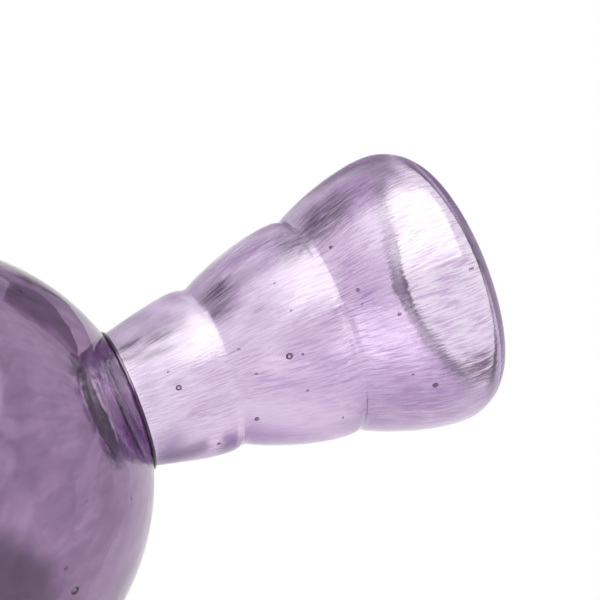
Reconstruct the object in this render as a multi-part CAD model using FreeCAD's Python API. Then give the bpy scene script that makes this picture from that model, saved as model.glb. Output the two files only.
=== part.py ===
import FreeCAD, Part
import math
import os

# Hand-blown bottle in thick amethyst glass: a globe, a neck of three swelling tiers that
# widens to an open mouth, a glass thread round the joint of the two, a laid-on lip and the
# wad that the pontil rod left under the base. Millimetres, +Z up the axis, origin at the
# centre of the ring that the bottle stands on.

# Globe
globe_radius = 50.0
globe_wall = 5.9
stand_radius = 20.0        # outer edge of the ring that it stands on
stand_edge_round = 1.5
kick_radius = 14.5         # inner edge of that ring, where the push-up begins
kick_depth = 6.0
kick_edge_round = 1.0
kick_bulge = 0.62          # share of its depth that the push-up's side has halfway in
floor_thickness = 7.0      # glass above the crown of the push-up
floor_radius = 17.0        # where the floor of the hollow runs into its round wall
throat_round = 1.6

# Neck, each tier swelling from its foot to its belly
bore_radius = 10.3
neck_root_radius = 15.1
lower_tier_height = 20.5
lower_belly_radius = 18.5
lower_belly_drop = 2.9     # from the belly up to the pinch above it
lower_pinch_inset = 0.5    # from the belly in to that pinch
middle_tier_height = 25.1
middle_belly_radius = 24.95
middle_belly_drop = 1.8
middle_pinch_inset = 0.25
upper_belly_height = 23.7  # above the second pinch
upper_belly_radius = 31.75
shoulder_height = 5.7      # from the upper belly up to the lip's seat
shoulder_inset = 1.75      # and in to its outer edge
lip_width = 3.3
bore_length = 15.5         # straight part of the bore, above the globe
mouth_wall = 5.0           # at the upper belly
pinch_round = 0.9
lower_flare = 0.22         # slope of each tier's wall at its foot
middle_flare = 0.58
upper_flare = 0.60
foot_reach = 0.25          # shares of a tier's rise that hold its slope at the foot
belly_reach = 0.28         # and at the belly
funnel_foot_reach = 0.30   # shares of the funnel's rise that hold it straight at the bore
funnel_mouth_reach = 0.2   # and at the mouth

# Trim
lip_height = 2.3
thread_height = 0.8
thread_width = 0.7         # how far the thread stands out from the neck's root
thread_edge_round = 0.3
wad_radius = 6.0
wad_thickness = 1.8
wad_edge_round = 0.7
crown_margin = 1.0         # flat of the push-up left showing round the wad

# Radii and heights worked out from the sizes above
first_pinch_radius = lower_belly_radius - lower_pinch_inset
second_pinch_radius = middle_belly_radius - middle_pinch_inset
lip_seat_radius = upper_belly_radius - shoulder_inset
seat_radius = neck_root_radius + thread_width   # flat on the globe that carries neck and thread
globe_inner_radius = globe_radius - globe_wall
globe_centre = math.sqrt(globe_radius ** 2 - stand_radius ** 2)
seat_height = globe_centre + math.sqrt(globe_radius ** 2 - seat_radius ** 2)
first_pinch_height = seat_height + lower_tier_height
second_pinch_height = first_pinch_height + middle_tier_height
upper_belly_level = second_pinch_height + upper_belly_height
lip_seat_height = upper_belly_level + shoulder_height
lip_bore_radius = lip_seat_radius - lip_width
crown_radius = wad_radius + crown_margin
floor_height = kick_depth + floor_thickness

axis_point = FreeCAD.Vector(0, 0, 0)
axis_up = FreeCAD.Vector(0, 0, 1)


def point(radius, height):
    return FreeCAD.Vector(radius, 0, height)


def line(start, end):
    return Part.LineSegment(point(*start), point(*end)).toShape()


def arc(start, middle, end):
    return Part.Arc(point(*start), point(*middle), point(*end)).toShape()


def curve(*poles):
    bezier = Part.BezierCurve()
    bezier.setPoles([point(*pole) for pole in poles])
    return bezier.toShape()


def revolve(edges):
    face = Part.Face(Part.Wire(edges))
    return face.revolve(axis_point, axis_up, 360)


def ring_edges(solid, radius, height):
    """The round edges of a solid at one radius and height."""
    reach = 1e-4
    rings = [edge for edge in solid.Edges
             if not edge.Degenerated and isinstance(edge.Curve, Part.Circle)]
    return [edge for edge in rings
            if abs(edge.Curve.Radius - radius) < reach
            and abs(edge.Curve.Center.z - height) < reach]


def tier_wall(foot, belly, flare):
    """Outline of one tier from its foot to its belly, where it runs parallel to the axis."""
    rise = belly[1] - foot[1]
    foot_handle = foot_reach * rise
    belly_handle = belly_reach * rise
    return curve(foot,
                 (foot[0] + flare * foot_handle, foot[1] + foot_handle),
                 (belly[0], belly[1] - belly_handle),
                 belly)


def turn_in_angle(belly, end):
    """How far a wall leans in by the end of an arc that leaves the belly parallel to the axis."""
    return 2 * math.atan2(belly[0] - end[0], end[1] - belly[1])


def turn_in(belly, end):
    """Arc that leaves the belly parallel to the axis and closes in to a smaller radius."""
    half_angle = turn_in_angle(belly, end) / 2
    bend_radius = (end[1] - belly[1]) / math.sin(2 * half_angle)
    middle = (belly[0] - bend_radius * (1 - math.cos(half_angle)),
              belly[1] + bend_radius * math.sin(half_angle))
    return arc(belly, middle, end)


def globe_body():
    """Thick globe, cut flat for the neck, pushed up underneath, with an open throat."""
    equator = (globe_radius, globe_centre)
    throat_height = globe_centre + math.sqrt(globe_inner_radius ** 2 - bore_radius ** 2)
    floor_edge = globe_centre - math.sqrt(globe_inner_radius ** 2 - floor_radius ** 2)
    kick_middle = ((crown_radius + kick_radius) / 2, kick_bulge * kick_depth)
    solid = revolve([
        line((0, kick_depth), (crown_radius, kick_depth)),
        arc((crown_radius, kick_depth), kick_middle, (kick_radius, 0)),
        line((kick_radius, 0), (stand_radius, 0)),
        arc((stand_radius, 0), equator, (seat_radius, seat_height)),
        line((seat_radius, seat_height), (bore_radius, seat_height)),
        line((bore_radius, seat_height), (bore_radius, throat_height)),
        arc((bore_radius, throat_height), (globe_inner_radius, globe_centre),
            (floor_radius, floor_edge)),
        curve((floor_radius, floor_edge), (floor_radius / 2, floor_height),
              (0, floor_height)),
        line((0, floor_height), (0, kick_depth)),
    ])
    solid = solid.makeFillet(throat_round, ring_edges(solid, bore_radius, throat_height))
    solid = solid.makeFillet(stand_edge_round, ring_edges(solid, stand_radius, 0))
    return solid.makeFillet(kick_edge_round, ring_edges(solid, kick_radius, 0))


def tiered_neck():
    """Three tiers outside, one smooth funnel inside, open at both ends."""
    root = (neck_root_radius, seat_height)
    root_land = (neck_root_radius, seat_height + thread_height)
    lower_belly = (lower_belly_radius, first_pinch_height - lower_belly_drop)
    first_pinch = (first_pinch_radius, first_pinch_height)
    middle_belly = (middle_belly_radius, second_pinch_height - middle_belly_drop)
    second_pinch = (second_pinch_radius, second_pinch_height)
    upper_belly = (upper_belly_radius, upper_belly_level)
    lip_seat_outside = (lip_seat_radius, lip_seat_height)
    lip_seat_inside = (lip_bore_radius, lip_seat_height)
    bore_top = (bore_radius, seat_height + bore_length)
    mouth = (upper_belly_radius - mouth_wall, upper_belly_level)
    funnel_rise = mouth[1] - bore_top[1]
    solid = revolve([
        line(root, root_land),
        tier_wall(root_land, lower_belly, lower_flare),
        turn_in(lower_belly, first_pinch),
        tier_wall(first_pinch, middle_belly, middle_flare),
        turn_in(middle_belly, second_pinch),
        tier_wall(second_pinch, upper_belly, upper_flare),
        turn_in(upper_belly, lip_seat_outside),
        line(lip_seat_outside, lip_seat_inside),
        line(lip_seat_inside, mouth),
        curve(mouth, (mouth[0], mouth[1] - funnel_mouth_reach * funnel_rise),
              (bore_top[0], bore_top[1] + funnel_foot_reach * funnel_rise), bore_top),
        line(bore_top, (bore_radius, seat_height)),
        line((bore_radius, seat_height), root),
    ])
    for pinch in (first_pinch, second_pinch):
        solid = solid.makeFillet(pinch_round, ring_edges(solid, *pinch))
    return solid


def root_thread():
    """Thin thread of glass laid in the corner between the globe and the neck."""
    top = seat_height + thread_height
    solid = revolve([
        line((neck_root_radius, seat_height), (seat_radius, seat_height)),
        line((seat_radius, seat_height), (seat_radius, top)),
        line((seat_radius, top), (neck_root_radius, top)),
        line((neck_root_radius, top), (neck_root_radius, seat_height)),
    ])
    return solid.makeFillet(thread_edge_round, ring_edges(solid, seat_radius, top))


def lip_ring():
    """Rounded lip laid on the end of the neck, whose wall it carries on over the crest."""
    inside = (lip_bore_radius, lip_seat_height)
    outside = (lip_seat_radius, lip_seat_height)
    lean = turn_in_angle((upper_belly_radius, upper_belly_level), outside)
    crest_height = lip_seat_height + lip_height
    outer_corner = (lip_seat_radius - lip_height * math.tan(lean), crest_height)
    inner_corner = (lip_bore_radius, crest_height)
    crest = ((outer_corner[0] + inner_corner[0]) / 2, crest_height)
    return revolve([
        line(inside, outside),
        curve(outside, outer_corner, crest),
        curve(crest, inner_corner, inside),
    ])


def pontil_wad():
    """Flat wad left in the push-up where the pontil rod was broken off."""
    foot = kick_depth - wad_thickness
    solid = Part.makeCylinder(wad_radius, wad_thickness, point(0, foot), axis_up)
    return solid.makeFillet(wad_edge_round, ring_edges(solid, wad_radius, foot))


nodes = {
    "globe_body": globe_body(),
    "tiered_neck": tiered_neck(),
    "root_thread": root_thread(),
    "lip_ring": lip_ring(),
    "pontil_wad": pontil_wad(),
}

os.makedirs("parts", exist_ok=True)
for name, solid in nodes.items():
    solid.exportStep("parts/" + name + ".step")
    print(name, "volume", round(solid.Volume / 1000, 2), "cm3", "valid", solid.isValid())
print("height", round(lip_seat_height + lip_height, 2), "mm")
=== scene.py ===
import math

import bmesh
import bpy
from mathutils import Matrix, Vector, noise
from mathutils.geometry import interpolate_bezier


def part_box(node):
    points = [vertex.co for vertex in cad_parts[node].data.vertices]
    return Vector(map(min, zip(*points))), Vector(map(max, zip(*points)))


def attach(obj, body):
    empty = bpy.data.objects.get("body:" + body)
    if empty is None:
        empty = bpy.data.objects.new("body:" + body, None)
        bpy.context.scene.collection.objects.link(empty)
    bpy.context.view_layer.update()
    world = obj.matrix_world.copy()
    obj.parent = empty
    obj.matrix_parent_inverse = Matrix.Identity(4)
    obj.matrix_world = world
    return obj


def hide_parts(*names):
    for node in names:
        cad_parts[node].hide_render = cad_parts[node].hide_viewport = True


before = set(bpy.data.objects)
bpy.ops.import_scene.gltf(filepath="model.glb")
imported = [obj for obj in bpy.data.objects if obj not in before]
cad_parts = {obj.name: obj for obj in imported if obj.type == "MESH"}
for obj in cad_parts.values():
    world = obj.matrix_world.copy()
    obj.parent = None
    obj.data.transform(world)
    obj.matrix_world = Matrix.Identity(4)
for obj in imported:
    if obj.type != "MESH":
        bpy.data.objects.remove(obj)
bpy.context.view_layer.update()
print("frame loaded")

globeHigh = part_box("globe_body")[1]
lipLow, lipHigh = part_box("lip_ring")
threadLow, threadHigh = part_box("root_thread")
wadLow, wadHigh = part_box("pontil_wad")
globeRadius = globeHigh.x
seatHeight = globeHigh.z


# outlines, as points of radius and height in the XZ plane

def spot(radius, height):
    return Vector((radius, 0, height))


def addLine(outline, end, count=1):
    start = outline[-1].copy()
    outline += [start.lerp(end, (i + 1) / count) for i in range(count)]


def addCurve(outline, handleA, handleB, end, count):
    outline += interpolate_bezier(outline[-1], handleA, handleB, end, count + 1)[1:]


def addRound(outline, corner, end, count):
    start = outline[-1]
    reach = 2 / 3    # gives the curve of one shared handle at the corner
    addCurve(outline, start.lerp(corner, reach), end.lerp(corner, reach), end, count)


def addArc(outline, centre, startAngle, endAngle, radius, count):
    for i in range(1, count + 1):
        angle = startAngle + (endAngle - startAngle) * i / count
        outline.append(centre + spot(math.cos(angle), math.sin(angle)) * radius)


def softenCorner(outline, corner, reach, count=6):
    at = min(range(len(outline)), key=lambda i: (outline[i] - corner).length)
    before = [p for p in outline[:at] if (p - corner).length > reach]
    after = [p for p in outline[at + 1:] if (p - corner).length > reach]
    addRound(before, corner, after[0], count)
    return before + after[1:]


# meshes

sharpAngle = math.radians(40)
mergeReach = 1e-7
axisReach = 1e-6    # a point closer to the axis than this stays on it
finerWave = 2.7    # how much shorter the second wave of a skin is than the first


def spinOutline(outline, steps, closed):
    bm = bmesh.new()
    verts = [bm.verts.new(p) for p in outline]
    pairs = list(zip(verts, verts[1:]))
    if closed:
        pairs.append((verts[-1], verts[0]))
    edges = [bm.edges.new(pair) for pair in pairs]
    bmesh.ops.spin(bm, geom=verts + edges, cent=(0, 0, 0), axis=(0, 0, 1),
                   angle=math.tau, steps=steps, use_merge=True)
    bmesh.ops.remove_doubles(bm, verts=bm.verts[:], dist=mergeReach)
    bmesh.ops.recalc_face_normals(bm, faces=bm.faces[:])
    return bm


def smoothStep(low, high, value):
    share = min(max((value - low) / (high - low), 0), 1)
    return share * share * (3 - 2 * share)


def blowUneven(bm, wall):
    # the hollow sits off centre and both skins wander a little, as breath and gravity leave them
    bm.normal_update()
    drift = Vector(wall["drift"])
    for vert in bm.verts:
        out = Vector((vert.co.x, vert.co.y, 0))
        if out.length < axisReach:
            continue
        out.normalize()
        height = vert.co.z
        hold = (smoothStep(wall["low"], wall["low"] + wall["fade"], height)
                * smoothStep(wall["high"], wall["high"] - wall["fade"], height))
        wave = vert.co / wall["waveLength"]
        wander = (noise.noise(wave) * 2 + noise.noise(wave * finerWave)) / 3
        inside = vert.normal.dot(vert.co - Vector((0, 0, wall["centre"]))) < 0
        if inside:
            vert.co += (drift + out * wall["innerWave"] * wander) * hold
        else:
            vert.co += out * wall["outerWave"] * (wander - 1) / 2 * hold


seedStretch = 1.15
seedDetail = 4    # times that each bubble's ball is divided
seedShadeBand = (-0.15, 0.72)    # shares of a bubble's depth, from its middle outwards, that take the painted shade


def addSeeds(bm, seeds, darkRinged):
    # gas bubbles: small hollow balls inside the wall, drawn out a little, some with painted shade round
    # the middle as an opaque dark ring
    for height, turn, radius, size in seeds:
        angle = math.radians(turn)
        out = Vector((math.cos(angle), math.sin(angle), 0))
        centre = out * radius + Vector((0, 0, height))
        place = Matrix.Translation(centre) @ Matrix.Diagonal((1, 1, seedStretch, 1))
        ball = bmesh.ops.create_icosphere(bm, subdivisions=seedDetail, radius=size / 2, matrix=place)
        faces = {face for vert in ball["verts"] for face in vert.link_faces}
        for face in faces:
            depth = (face.calc_center_median() - centre).dot(out) / (size / 2)
            inBand = seedShadeBand[0] < depth < seedShadeBand[1]
            face.material_index = 1 if darkRinged and inBand else 0
        bmesh.ops.reverse_faces(bm, faces=list(faces))


def makePiece(bm, name, materials, slotName, *nodes):
    for face in bm.faces:
        face.smooth = True
    for edge in bm.edges:
        if len(edge.link_faces) == 2 and edge.calc_face_angle() > sharpAngle:
            edge.smooth = False
    mesh = bpy.data.meshes.new(name)
    bm.to_mesh(mesh)
    bm.free()
    for material in materials:
        mesh.materials.append(material)
    piece = bpy.data.objects.new(name, mesh)
    bpy.context.scene.collection.objects.link(piece)
    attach(piece, "root")
    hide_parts(*nodes)
    print(name, len(mesh.polygons), "faces")


# glass

noiseDetail = {"sheaves": 1, "cords": 2, "blots": 2, "ringShade": 2, "drawn": 3, "hatch": 3}
noiseEdges = {    # where a noise begins to show and where it shows in full
    "sheaves": (0.38, 0.6), "haze": (0.4, 0.7), "blots": (0.42, 0.56), "ringShade": (0.35, 0.65),
    "drawn": (0.47, 0.60), "hatch": (0.43, 0.52),
}
paintedShadeCore = 0.3    # share of a painted shade mark's width that is dark throughout
clearGlass = (1, 1, 1)


def addNoise(tree, vector, stretch, detail):
    mapping = tree.nodes.new("ShaderNodeMapping")
    mapping.inputs["Scale"].default_value = stretch
    tree.links.new(vector, mapping.inputs["Vector"])
    texture = tree.nodes.new("ShaderNodeTexNoise")
    texture.inputs["Scale"].default_value = 1
    texture.inputs["Detail"].default_value = detail
    tree.links.new(mapping.outputs["Vector"], texture.inputs["Vector"])
    return texture.outputs["Fac"]


def addAroundAxis(tree, vector):
    # direction from the axis together with the height, so that a pattern runs up the wall
    apart = tree.nodes.new("ShaderNodeSeparateXYZ")
    tree.links.new(vector, apart.inputs["Vector"])
    flat = tree.nodes.new("ShaderNodeCombineXYZ")
    tree.links.new(apart.outputs["X"], flat.inputs["X"])
    tree.links.new(apart.outputs["Y"], flat.inputs["Y"])
    unit = tree.nodes.new("ShaderNodeVectorMath")
    unit.operation = "NORMALIZE"
    tree.links.new(flat.outputs["Vector"], unit.inputs[0])
    turned = tree.nodes.new("ShaderNodeSeparateXYZ")
    tree.links.new(unit.outputs["Vector"], turned.inputs["Vector"])
    joined = tree.nodes.new("ShaderNodeCombineXYZ")
    tree.links.new(turned.outputs["X"], joined.inputs["X"])
    tree.links.new(turned.outputs["Y"], joined.inputs["Y"])
    tree.links.new(apart.outputs["Z"], joined.inputs["Z"])
    return joined.outputs["Vector"]


def addRange(tree, value, low, high, newLow, newHigh):
    node = tree.nodes.new("ShaderNodeMapRange")
    node.interpolation_type = "SMOOTHSTEP"
    sockets = ("From Min", "From Max", "To Min", "To Max")
    for socket, number in zip(sockets, (low, high, newLow, newHigh)):
        node.inputs[socket].default_value = number
    tree.links.new(value, node.inputs["Value"])
    return node.outputs["Result"]


def addVector(tree, operation, other, vector):
    node = tree.nodes.new("ShaderNodeVectorMath")
    node.operation = operation
    node.inputs[1].default_value = other
    tree.links.new(vector, node.inputs[0])
    return node.outputs["Value"]


def addProduct(tree, first, second):
    node = tree.nodes.new("ShaderNodeVectorMath")
    node.operation = "MULTIPLY"
    tree.links.new(first, node.inputs[0])
    tree.links.new(second, node.inputs[1])
    return node.outputs["Vector"]


def addColour(tree, share, first, second):
    node = tree.nodes.new("ShaderNodeMix")
    node.data_type = "RGBA"
    sockets = [socket for socket in node.inputs if socket.type == "RGBA"]
    for socket, colour in zip(sockets, (first, second)):
        if isinstance(colour, tuple):
            socket.default_value = (*colour, 1)
        else:
            tree.links.new(colour, socket)
    tree.links.new(share, node.inputs["Factor"])
    return next(socket for socket in node.outputs if socket.type == "RGBA")


def addBump(tree, height, strength, depth, below=None):
    bump = tree.nodes.new("ShaderNodeBump")
    bump.inputs["Strength"].default_value = strength
    bump.inputs["Distance"].default_value = depth
    tree.links.new(height, bump.inputs["Height"])
    if below:
        tree.links.new(below, bump.inputs["Normal"])
    return bump.outputs["Normal"]


def addMath(tree, operation, first, second):
    node = tree.nodes.new("ShaderNodeMath")
    node.operation = operation
    for socket, value in zip(node.inputs, (first, second)):
        if isinstance(value, (int, float)):
            socket.default_value = value
        else:
            tree.links.new(value, socket)
    return node.outputs["Value"]


def addPatch(tree, place, colour, patch):
    # a stretch of glass that is darker, in blots where the patch names their grain
    share = addRange(tree, addVector(tree, *patch["along"], place), *patch["fade"])
    if "grain" in patch:
        grain = addNoise(tree, place, patch["grain"], noiseDetail["blots"])
        blots = addRange(tree, grain, *noiseEdges["blots"], 0, 1)
        share = addMath(tree, "MULTIPLY", share, blots)
    return addProduct(tree, colour, addColour(tree, share, clearGlass, patch["colour"]))


def addPaintedShade(tree, around, hatch, colour, shadeMark):
    # painted shade and dark reflections: dark drawn lines gathered about one place on the wall
    squash = shadeMark["width"] / shadeMark["length"]
    turn = math.radians(shadeMark["turn"])
    mapping = tree.nodes.new("ShaderNodeMapping")
    mapping.inputs["Scale"].default_value = (1, 1, squash)
    tree.links.new(around, mapping.inputs["Vector"])
    middle = (math.cos(turn), math.sin(turn), shadeMark["height"] * squash)
    away = addVector(tree, "DISTANCE", middle, mapping.outputs["Vector"])
    near = addRange(tree, away, shadeMark["width"] * paintedShadeCore, shadeMark["width"], 1, 0)
    lines = addRange(tree, hatch, *noiseEdges["hatch"], 0, 1)
    share = addMath(tree, "MULTIPLY", near, lines)
    return addProduct(tree, colour, addColour(tree, share, clearGlass, shadeMark["colour"]))


# painted shade: the dark ring round a bubble, as an opaque dark grainy surface
def ringShadeMaterial(name, look):
    material = bpy.data.materials.new(name)
    material.use_nodes = True
    tree = material.node_tree
    shader = tree.nodes["Principled BSDF"]
    place = tree.nodes.new("ShaderNodeTexCoord").outputs["Object"]
    grain = addNoise(tree, place, look["grain"], noiseDetail["ringShade"])
    share = addRange(tree, grain, *noiseEdges["ringShade"], 0, 1)
    tree.links.new(addColour(tree, share, look["dark"], look["pale"]), shader.inputs["Base Color"])
    shader.inputs["Roughness"].default_value = look["roughness"]
    return material


def glassMaterial(name, look):
    material = bpy.data.materials.new(name)
    material.use_nodes = True
    tree = material.node_tree
    shader = tree.nodes["Principled BSDF"]
    shader.inputs["Transmission Weight"].default_value = 1
    shader.inputs["IOR"].default_value = look["ior"]
    place = tree.nodes.new("ShaderNodeTexCoord").outputs["Object"]
    around = addAroundAxis(tree, place)
    # fine lines drawn up the wall, and broad waves in the gather
    drawn = addNoise(tree, around, look["drawn"], noiseDetail["drawn"])
    cords = addNoise(tree, place, look["cords"], noiseDetail["cords"])
    normal = addBump(tree, cords, look["cordStrength"], look["cordDepth"])
    normal = addBump(tree, drawn, look["drawnStrength"], look["drawnDepth"], normal)
    tree.links.new(normal, shader.inputs["Normal"])
    haze = addRange(tree, cords, *noiseEdges["haze"], 0, look["haze"])
    tree.links.new(haze, shader.inputs["Roughness"])
    # the drawn lines also show as colour, more in some sheaves of them than in others
    gathered = addNoise(tree, place, look["sheaves"], noiseDetail["sheaves"])
    sheaves = addRange(tree, gathered, *noiseEdges["sheaves"], look["thin"], 1)
    lines = addRange(tree, drawn, *noiseEdges["drawn"], 0, 1)
    share = addMath(tree, "MULTIPLY", lines, sheaves)
    colour = addColour(tree, share, look["colour"], look["streak"])
    for patch in look["patches"]:
        colour = addPatch(tree, place, colour, patch)
    # painted shade and dark reflections, in streaks about the wall
    if look["shadeMarks"]:
        hatch = addNoise(tree, around, look["hatch"], noiseDetail["hatch"])
    for shadeMark in look["shadeMarks"]:
        colour = addPaintedShade(tree, around, hatch, colour, shadeMark)
    tree.links.new(colour, shader.inputs["Base Color"])
    body = tree.nodes.new("ShaderNodeVolumeAbsorption")
    body.inputs["Color"].default_value = (*look["tint"], 1)
    body.inputs["Density"].default_value = look["density"]
    tree.links.new(body.outputs["Volume"], tree.nodes["Material Output"].inputs["Volume"])
    return material


globeLook = {
    "ior": 1.5, "tint": (0.65, 0.51, 0.68), "density": 160,
    "drawn": (9, 9, 210), "drawnStrength": 0.05, "drawnDepth": 0.0004,
    "cords": (70, 70, 70), "cordStrength": 0.15, "cordDepth": 0.001,
    "haze": 0.04, "colour": (0.87, 0.80, 0.89), "streak": (0.69, 0.61, 0.73),
    "sheaves": (40, 40, 40), "thin": 0.7,
    "patches": (
        {    # painted shade low on one side, a dark cloud where the push-up shows dark through the glass
            "along": ("DISTANCE", (0.05, 0.03, 0.035)), "fade": (0.036, 0.045, 1, 0),
            "colour": (0.34, 0.315, 0.335),
        },
        {    # painted shade round the throat, in blots
            "along": ("DISTANCE", (0, 0, 0.0875)), "fade": (0.0128, 0.0148, 1, 0),
            "grain": (260, 260, 260), "colour": (0.16, 0.10, 0.18),
        },
        {    # painted shade in small dark spots on the inner shoulder below it
            "along": ("DISTANCE", (0.0026, -0.0247, 0.0822)), "fade": (0.0018, 0.0040, 1, 0),
            "grain": (420, 420, 420), "colour": (0.012, 0.006, 0.016),
        },
        {
            "along": ("DISTANCE", (-0.0021, -0.0242, 0.0826)), "fade": (0.0010, 0.0028, 1, 0),
            "grain": (420, 420, 420), "colour": (0.03, 0.018, 0.036),
        },
        {
            "along": ("DISTANCE", (-0.0076, -0.0283, 0.0863)), "fade": (0.0010, 0.0024, 1, 0),
            "grain": (420, 420, 420), "colour": (0.05, 0.03, 0.06),
        },
        {    # paler and deeper clouds in the gather
            "along": ("DISTANCE", (0, 0, 0.0458)), "fade": (0.2, 0.3, 1, 0),
            "grain": (50, 50, 50), "colour": (0.80, 0.76, 0.82),
        },
    ),
    "shadeMarks": (),
}
neckLook = {
    "ior": 1.5, "tint": (0.69, 0.43, 0.78), "density": 30,
    "drawn": (80, 80, 240), "drawnStrength": 0.5, "drawnDepth": 0.0001, "hatch": (110, 110, 200),
    "cords": (200, 200, 40), "cordStrength": 0.12, "cordDepth": 0.0005,
    "haze": 0.02, "colour": (1, 1, 1), "streak": (0.61, 0.47, 0.67),
    "sheaves": (110, 110, 110), "thin": 0.5,
    "patches": (
        {    # deeper up the neck
            "along": ("DOT_PRODUCT", (0.4, 0, 1)), "fade": (0.105, 0.165, 0, 1),
            "colour": (0.85, 0.77, 0.88),
        },
    ),
    "shadeMarks": (    # painted shade and dark reflections in streaks; width is a turn in radians, length runs up the wall
        {"turn": -133, "height": 0.097, "width": 0.10, "length": 0.005, "colour": (0.03, 0.018, 0.04)},
        {"turn": -125, "height": 0.103, "width": 0.11, "length": 0.007, "colour": (0.03, 0.018, 0.04)},
        {"turn": -138, "height": 0.118, "width": 0.28, "length": 0.007, "colour": (0.03, 0.018, 0.04)},
        {"turn": -154, "height": 0.127, "width": 0.38, "length": 0.016, "colour": (0.30, 0.19, 0.38)},
        {"turn": -154, "height": 0.156, "width": 0.40, "length": 0.016, "colour": (0.72, 0.58, 0.78)},
        {"turn": -141, "height": 0.1355, "width": 0.24, "length": 0.006, "colour": (0.10, 0.07, 0.12)},
        {"turn": -145, "height": 0.145, "width": 0.24, "length": 0.010, "colour": (0.06, 0.04, 0.07)},
        {"turn": -47, "height": 0.163, "width": 0.16, "length": 0.006, "colour": (0.08, 0.05, 0.09)},
        {"turn": -25, "height": 0.150, "width": 0.45, "length": 0.022, "colour": (0.50, 0.39, 0.56)},
        {"turn": -23, "height": 0.110, "width": 0.25, "length": 0.005, "colour": (0.20, 0.14, 0.24)},
    ),
}
# painted shade of the bubbles' dark rings
seedLook = {
    "dark": (0.012, 0.007, 0.014), "pale": (0.04, 0.025, 0.045),
    "grain": (3000, 3000, 3000), "roughness": 0.6,
}
globeGlass = glassMaterial("globeGlass", globeLook)
neckGlass = glassMaterial("neckGlass", neckLook)
seedRingShade = ringShadeMaterial("seedRingShade", seedLook)

globe = {
    "wall": 0.0059,
    "standRadius": 0.020, "standRound": 0.0015,
    "kickRadius": 0.0145, "kickDepth": 0.006, "crownRadius": 0.007,
    "kickSwell": 0.001, "kickFullness": 0.8,    # how far the push-up's side bulges, out and up
    "kickEdge": (0.0005, 0.0008, 0.001),    # rounding of its foot: in, up and out
    "floorThickness": 0.007, "floorRadius": 0.017,
    "throatRadius": 0.0103, "throatRound": 0.0016,
    "throatLead": 1.3, "throatCorner": 0.2,    # heights of its bend's start and corner, in roundings
    "steps": 192,
    "segments": {
        "crown": 4, "kick": 10, "kickEdge": 5, "stand": 3, "standRound": 6, "outside": 110,
        "seat": 3, "throat": 4, "throatRound": 6, "inside": 100, "floor": 12,
    },
    "uneven": {
        "drift": (-0.0014, 0, 0), "low": 0.008, "high": 0.088, "fade": 0.02, "centre": 0.0458,
        "waveLength": 0.016, "innerWave": 0.0005, "outerWave": 0.0001,
    },
    "seeds": (    # height, turn in degrees, distance from the axis, diameter
        (0.0669, -48, 0.0435, 0.0016), (0.0666, -56, 0.0435, 0.0007), (0.0744, -68, 0.0388, 0.0004),
        (0.0869, -42, 0.0265, 0.0007), (0.0778, -138, 0.0363, 0.0009),
    ),
}


def buildGlobe(size):
    inner = globeRadius - size["wall"]
    centre = spot(0, math.sqrt(globeRadius ** 2 - size["standRadius"] ** 2))
    standAngle = math.asin((size["standRound"] - centre.z) / globeRadius)
    seatAngle = math.acos(threadHigh.x / globeRadius)
    throatAngle = math.acos((size["throatRadius"] + size["throatRound"]) / inner)
    floorAngle = -math.acos(size["floorRadius"] / inner)
    floorHeight = size["kickDepth"] + size["floorThickness"]

    kickMiddle = (size["crownRadius"] + size["kickRadius"]) / 2
    bulge = spot(kickMiddle + size["kickSwell"], size["kickDepth"] * size["kickFullness"])
    edgeIn, edgeUp, edgeOut = size["kickEdge"]
    standEnd = centre + spot(math.cos(standAngle), math.sin(standAngle)) * globeRadius
    throatEnd = centre + spot(math.cos(throatAngle), math.sin(throatAngle)) * inner
    throatLead = throatEnd.z + size["throatRound"] * size["throatLead"]
    throatCorner = throatEnd.z + size["throatRound"] * size["throatCorner"]
    segments = size["segments"]

    outline = [spot(0, size["kickDepth"])]
    addLine(outline, spot(size["crownRadius"], size["kickDepth"]), segments["crown"])
    addRound(outline, bulge, spot(size["kickRadius"] - edgeIn, edgeUp), segments["kick"])
    addRound(outline, spot(size["kickRadius"], 0), spot(size["kickRadius"] + edgeOut, 0),
             segments["kickEdge"])
    addLine(outline, spot(size["standRadius"] - size["standRound"], 0), segments["stand"])
    addRound(outline, spot(size["standRadius"], 0), standEnd, segments["standRound"])
    addArc(outline, centre, standAngle, seatAngle, globeRadius, segments["outside"])
    addLine(outline, spot(size["throatRadius"], seatHeight), segments["seat"])
    addLine(outline, spot(size["throatRadius"], throatLead), segments["throat"])
    addRound(outline, spot(size["throatRadius"], throatCorner), throatEnd, segments["throatRound"])
    addArc(outline, centre, throatAngle, floorAngle, inner, segments["inside"])
    addRound(outline, spot(size["floorRadius"] / 2, floorHeight), spot(0, floorHeight), segments["floor"])
    bm = spinOutline(outline, size["steps"], False)
    blowUneven(bm, size["uneven"])
    addSeeds(bm, size["seeds"], False)
    makePiece(bm, "globeBody", (globeGlass,), "globe_glass", "globe_body")


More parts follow.
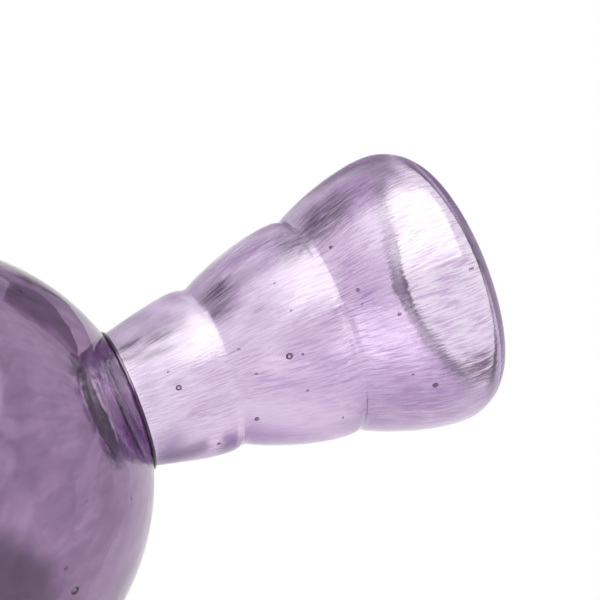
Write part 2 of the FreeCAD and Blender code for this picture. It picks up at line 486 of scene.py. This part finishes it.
neck = {
    "seamGap": 0.00005,
    "rootRadius": 0.0151, "landHeight": 0.0008, "boreRadius": 0.0103, "boreLength": 0.0155,
    "lowerHeight": 0.0205, "lowerBelly": 0.0185, "lowerDrop": 0.0029, "firstPinch": 0.0178,
    "middleHeight": 0.0251, "middleBelly": 0.02495, "middleDrop": 0.0018, "secondPinch": 0.0244,
    "upperRise": 0.0237, "upperBelly": 0.03175, "shoulder": 0.0057, "mouthWall": 0.005,
    "lipWidth": 0.0033, "pinchRound": 0.0012,
    "flares": (0.22, 0.58, 0.60), "footReach": 0.25, "bellyReach": 0.28,
    "funnelFootReach": 0.30, "funnelMouthReach": 0.2,
    "steps": 192,
    "segments": {
        "lower": 40, "middle": 50, "upper": 50, "turnIn": 10,
        "lipSeat": 4, "mouth": 6, "funnel": 70, "bore": 16,
    },
    "uneven": {
        "drift": (-0.0008, 0, 0), "low": 0.0945, "high": 0.169, "fade": 0.012, "centre": 0.13,
        "waveLength": 0.012, "innerWave": 0.00025, "outerWave": 0.00012,
    },
    "seeds": (    # as for the globe
        (0.1257, -80, 0.0203, 0.0013), (0.1026, -85, 0.0152, 0.0011), (0.1529, -45, 0.0284, 0.0011),
        (0.1164, -42, 0.0175, 0.0009), (0.1075, -28, 0.0166, 0.0007), (0.1433, -99, 0.0248, 0.0007),
        (0.1426, -125, 0.0246, 0.0007), (0.1490, -82, 0.0270, 0.0007), (0.1655, -89, 0.0299, 0.0005),
        (0.1661, -89, 0.0297, 0.0005), (0.1430, -92, 0.0246, 0.0005), (0.1169, -95, 0.0175, 0.0005),
        (0.1184, -76, 0.0182, 0.0005), (0.1282, -79, 0.0215, 0.0005), (0.1335, -33, 0.0230, 0.0005),
        (0.1287, -121, 0.0218, 0.0005), (0.1292, -103, 0.0218, 0.0005), (0.1271, -157, 0.0221, 0.0005),
        (0.1271, -58, 0.0214, 0.0005), (0.1487, -53, 0.0271, 0.0005), (0.1018, -99, 0.0150, 0.0005),
        (0.1014, -20, 0.0157, 0.0005),
    ),
}


def addTurnIn(outline, end, count):
    # leaves the belly upright and closes in to the pinch or the lip
    belly = outline[-1]
    turn = 2 * math.atan2(belly.x - end.x, end.z - belly.z)
    radius = (end.z - belly.z) / math.sin(turn)
    addArc(outline, belly - spot(radius, 0), 0, turn, radius, count)


def addTier(outline, belly, end, flare, size, count):
    foot = outline[-1]
    rise = belly.z - foot.z
    slopeEnd = foot + spot(flare, 1) * size["footReach"] * rise
    addCurve(outline, slopeEnd, belly - spot(0, size["bellyReach"] * rise), belly, count)
    addTurnIn(outline, end, size["segments"]["turnIn"])


def buildNeck(size):
    root = seatHeight + size["seamGap"]
    firstLevel = seatHeight + size["lowerHeight"]
    secondLevel = firstLevel + size["middleHeight"]
    upperLevel = secondLevel + size["upperRise"]
    lipSeat = upperLevel + size["shoulder"]
    firstPinch = spot(size["firstPinch"], firstLevel)
    secondPinch = spot(size["secondPinch"], secondLevel)
    lipEdge = spot(lipHigh.x, lipSeat)
    lowerBelly = spot(size["lowerBelly"], firstLevel - size["lowerDrop"])
    middleBelly = spot(size["middleBelly"], secondLevel - size["middleDrop"])
    upperBelly = spot(size["upperBelly"], upperLevel)
    mouth = spot(size["upperBelly"] - size["mouthWall"], upperLevel)
    boreTop = spot(size["boreRadius"], seatHeight + size["boreLength"])
    funnelRise = mouth.z - boreTop.z
    lowerFlare, middleFlare, upperFlare = size["flares"]
    segments = size["segments"]

    outline = [spot(size["rootRadius"], root)]
    addLine(outline, spot(size["rootRadius"], seatHeight + size["landHeight"]))
    addTier(outline, lowerBelly, firstPinch, lowerFlare, size, segments["lower"])
    addTier(outline, middleBelly, secondPinch, middleFlare, size, segments["middle"])
    addTier(outline, upperBelly, lipEdge, upperFlare, size, segments["upper"])
    addLine(outline, spot(lipEdge.x - size["lipWidth"], lipSeat), segments["lipSeat"])
    addLine(outline, mouth, segments["mouth"])
    addCurve(outline, mouth - spot(0, size["funnelMouthReach"] * funnelRise),
             boreTop + spot(0, size["funnelFootReach"] * funnelRise), boreTop, segments["funnel"])
    addLine(outline, spot(size["boreRadius"], root), segments["bore"])
    for pinch in (firstPinch, secondPinch):
        outline = softenCorner(outline, pinch, size["pinchRound"])
    bm = spinOutline(outline, size["steps"], True)
    blowUneven(bm, size["uneven"])
    addSeeds(bm, size["seeds"], True)
    makePiece(bm, "tieredNeck", (neckGlass, seedRingShade), "neck_glass", "tiered_neck")


lip = {"seamGap": 0.00005, "steps": 192, "roundSegments": 8, "seatSegments": 4}
lipPaintedShade = {    # painted shade: the lip is darker all round, but for a short stretch
    "along": ("DOT_PRODUCT", (-0.643, 0.766, 0)), "fade": (0.0225, 0.0268, 1, 0),
    "colour": (0.37, 0.31, 0.41),
}
lipLook = dict(neckLook, tint=(0.62, 0.50, 0.66), density=220, patches=(lipPaintedShade,))
lipGlass = glassMaterial("lipGlass", lipLook)


def buildLip(size):
    seat = lipLow.z + size["seamGap"]
    outer = lipHigh.x
    inner = outer - neck["lipWidth"]
    lean = 2 * math.atan2(neck["upperBelly"] - outer, neck["shoulder"])
    outerCorner = spot(outer - (lipHigh.z - lipLow.z) * math.tan(lean), lipHigh.z)
    innerCorner = spot(inner, lipHigh.z)
    crest = (outerCorner + innerCorner) / 2
    lastSegment = neck["lipWidth"] / size["seatSegments"]    # closes the outline
    outline = [spot(outer, seat)]
    addRound(outline, outerCorner, crest, size["roundSegments"])
    addRound(outline, innerCorner, spot(inner, seat), size["roundSegments"])
    addLine(outline, spot(outer - lastSegment, seat), size["seatSegments"] - 1)
    bm = spinOutline(outline, size["steps"], True)
    makePiece(bm, "lipRing", (lipGlass,), "neck_glass", "lip_ring")


thread = {
    "gap": 0.00005, "lowerRound": 0.0003, "upperRound": 0.0004,
    "steps": 192, "flatSegments": 3, "roundSegments": 4,
}
threadLook = dict(globeLook, density=9000)    # all but opaque
threadGlass = glassMaterial("threadGlass", threadLook)


def buildThread(size):
    low = threadLow.z + size["gap"]
    high = threadHigh.z
    inner = neck["rootRadius"] + size["gap"]
    outer = threadHigh.x
    middle = (low + high) / 2
    outline = [spot(inner, low)]
    addLine(outline, spot(outer - size["lowerRound"], low), size["flatSegments"])
    addRound(outline, spot(outer, low), spot(outer, middle), size["roundSegments"])
    addRound(outline, spot(outer, high), spot(outer - size["upperRound"], high), size["roundSegments"])
    addLine(outline, spot(inner, high), size["flatSegments"])
    bm = spinOutline(outline, size["steps"], True)
    makePiece(bm, "rootThread", (threadGlass,), "globe_glass", "root_thread")


wad = {
    "gap": 0.00005, "edgeRound": 0.0007, "steps": 64,
    "segments": {"foot": 8, "edge": 4, "side": 2, "top": 6},
}


def buildWad(size):
    radius = wadHigh.x
    foot = wadLow.z
    top = wadHigh.z - size["gap"]
    edge = size["edgeRound"]
    segments = size["segments"]
    outline = [spot(0, foot)]
    addLine(outline, spot(radius - edge, foot), segments["foot"])
    addRound(outline, spot(radius, foot), spot(radius, foot + edge), segments["edge"])
    addLine(outline, spot(radius, top), segments["side"])
    addLine(outline, spot(0, top), segments["top"])
    bm = spinOutline(outline, size["steps"], False)
    makePiece(bm, "pontilWad", (globeGlass,), "globe_glass", "pontil_wad")


buildGlobe(globe)
buildNeck(neck)
buildLip(lip)
buildThread(thread)
buildWad(wad)

# camera, rolled as in the photograph: the neck points to the upper right

view = {
    "height": 0.05041, "distance": 0.320741,
    "yaw": -1.223, "pitch": 15.195, "roll": 68.958,
    "lens": 90, "sensor": 36, "clipStart": 0.001,
}


def buildCamera(size):
    data = bpy.data.cameras.new("camera")
    data.lens = size["lens"]
    data.sensor_width = size["sensor"]
    data.sensor_fit = "HORIZONTAL"
    data.clip_start = size["clipStart"]
    camera = bpy.data.objects.new("camera", data)
    turn = (Matrix.Rotation(math.radians(-size["yaw"]), 4, "Z")
            @ Matrix.Rotation(math.radians(90 + size["pitch"]), 4, "X")
            @ Matrix.Rotation(math.radians(size["roll"]), 4, "Z"))
    camera.matrix_world = Matrix.Translation((0, -size["distance"], size["height"])) @ turn
    bpy.context.scene.collection.objects.link(camera)
    bpy.context.scene.camera = camera
    print("camera set")


buildCamera(view)

# white room with a large soft window, bright in reflections and faint through the glass

room = {
    "white": 1.0, "fill": 0.75,
    "window": (-0.73, -0.68, 0.1), "windowLevel": 8.5, "throughLevel": 0.8, "leastAhead": 0.1,
    "windowSides": (-0.64, 0.64), "sideSoft": (0.15, 0.15),
    "windowEnds": (-0.36, 0.95), "endSoft": (0.3, 0.15),
}


def buildWorld(size):
    world = bpy.data.worlds.new("studio")
    world.use_nodes = True
    tree = world.node_tree
    direction = tree.nodes.new("ShaderNodeTexCoord").outputs["Generated"]
    path = tree.nodes.new("ShaderNodeLightPath").outputs
    facing = Vector(size["window"]).normalized()
    across = facing.cross(Vector((0, 0, 1))).normalized()
    upright = across.cross(facing)
    ahead = addVector(tree, "DOT_PRODUCT", facing, direction)
    pane = addMath(tree, "GREATER_THAN", ahead, size["leastAhead"])
    for axis, edges, soft in ((across, size["windowSides"], size["sideSoft"]),
                              (upright, size["windowEnds"], size["endSoft"])):
        offset = addMath(tree, "DIVIDE", addVector(tree, "DOT_PRODUCT", axis, direction), ahead)
        for edge, blur, inside in zip(edges, soft, (1, 0)):
            mask = addRange(tree, offset, edge - blur, edge + blur, 1 - inside, inside)
            pane = addMath(tree, "MULTIPLY", pane, mask)
    windowLevel = addRange(tree, path["Is Transmission Ray"], 0, 1,
                           size["windowLevel"], size["throughLevel"])
    glow = addMath(tree, "ADD", addMath(tree, "MULTIPLY", pane, windowLevel), size["white"])
    clear = addMath(tree, "MAXIMUM", path["Is Glossy Ray"], path["Is Transmission Ray"])
    level = addMath(tree, "MULTIPLY", glow, clear)
    plain = addMath(tree, "MULTIPLY", addMath(tree, "SUBTRACT", 1, clear), size["fill"])
    level = addMath(tree, "ADD", level, plain)
    white = tree.nodes.new("ShaderNodeMix")
    white.inputs["B"].default_value = size["white"]
    tree.links.new(path["Is Camera Ray"], white.inputs["Factor"])
    tree.links.new(level, white.inputs["A"])
    tree.links.new(white.outputs["Result"], tree.nodes["Background"].inputs["Strength"])
    tree.nodes["Background"].inputs["Color"].default_value = (1, 1, 1, 1)
    bpy.context.scene.world = world
    print("world set")


buildWorld(room)

floor = {"radius": 2.0, "segments": 64, "colour": (0.86, 0.86, 0.86), "gap": 0.0001}


def buildFloor(size):
    bm = bmesh.new()
    bmesh.ops.create_circle(bm, cap_ends=True, segments=size["segments"], radius=size["radius"])
    mesh = bpy.data.meshes.new("floor")
    bm.to_mesh(mesh)
    bm.free()
    material = bpy.data.materials.new("paleFloor")
    material.use_nodes = True
    tree = material.node_tree
    shader = tree.nodes["Principled BSDF"]
    shader.inputs["Base Color"].default_value = (*size["colour"], 1)
    shader.inputs["Roughness"].default_value = 1
    shader.inputs["Specular IOR Level"].default_value = 0
    mesh.materials.append(material)
    ground = bpy.data.objects.new("floor", mesh)
    ground.location.z = -size["gap"]
    bpy.context.scene.collection.objects.link(ground)
    ground.visible_glossy = False    # the glass sees the white room below it instead
    ground.visible_transmission = False


buildFloor(floor)

# two violet-grey cards that only the glass sees

cards = {    # corners of each card, and where it fades from its grey to the white of the room
    "sideCard": {
        "corners": ((-0.12, 0.01, 0.10), (-0.12, 0.08, 0.10), (-0.12, 0.08, 0.17),
                    (-0.12, 0.01, 0.17)),
        "fade": ("DISTANCE", (-0.12, 0.045, 0.134)), "grey": 0.014, "white": 0.030, "level": 0.06,
        "colour": (0.96, 0.86, 1.0),
    },
    "backCard": {
        "corners": ((-0.13, 0.15, 0.15), (-0.07, 0.15, 0.15), (-0.07, 0.15, 0.60),
                    (-0.40, 0.15, 0.60), (-0.40, 0.15, 0.40)),
        "fade": ("DOT_PRODUCT", (0, 0, 1)), "grey": 0.178, "white": 0.152, "level": 0.34,
        "colour": (0.96, 0.84, 1.0),
    },
}


def buildCard(name, size):
    bm = bmesh.new()
    bm.faces.new([bm.verts.new(corner) for corner in size["corners"]])
    mesh = bpy.data.meshes.new(name)
    bm.to_mesh(mesh)
    bm.free()
    material = bpy.data.materials.new(name)
    material.use_nodes = True
    tree = material.node_tree
    glow = tree.nodes.new("ShaderNodeEmission")
    place = tree.nodes.new("ShaderNodeTexCoord").outputs["Object"]
    along = addVector(tree, *size["fade"], place)
    ends = sorted(((size["grey"], size["level"]), (size["white"], room["white"])))
    fade = addRange(tree, along, ends[0][0], ends[1][0], ends[0][1], ends[1][1])
    glow.inputs["Color"].default_value = (*size["colour"], 1)
    tree.links.new(fade, glow.inputs["Strength"])
    tree.links.new(glow.outputs["Emission"], tree.nodes["Material Output"].inputs["Surface"])
    mesh.materials.append(material)
    sheet = bpy.data.objects.new(name, mesh)
    bpy.context.scene.collection.objects.link(sheet)
    sheet.visible_camera = False
    sheet.visible_diffuse = False
    sheet.visible_shadow = False


for name, size in cards.items():
    buildCard(name, size)

lamp = {"place": (-0.5, -0.45, 0.6), "aim": (0, 0, 0.08), "size": 0.5, "power": 4.0}


def buildLamp(size):
    data = bpy.data.lights.new("softbox", "AREA")
    data.size = size["size"]
    data.energy = size["power"]
    light = bpy.data.objects.new("softbox", data)
    light.location = size["place"]
    towards = Vector(size["aim"]) - light.location
    light.rotation_euler = towards.to_track_quat("-Z", "Y").to_euler()
    bpy.context.scene.collection.objects.link(light)
    light.visible_glossy = False    # not seen in the glass
    light.visible_transmission = False


buildLamp(lamp)
print("floor, cards and lamp set")

scene = bpy.context.scene
scene.view_settings.view_transform = "Standard"
scene.cycles.max_bounces = 32
scene.cycles.transmission_bounces = 32
scene.cycles.glossy_bounces = 16

print("finishing")
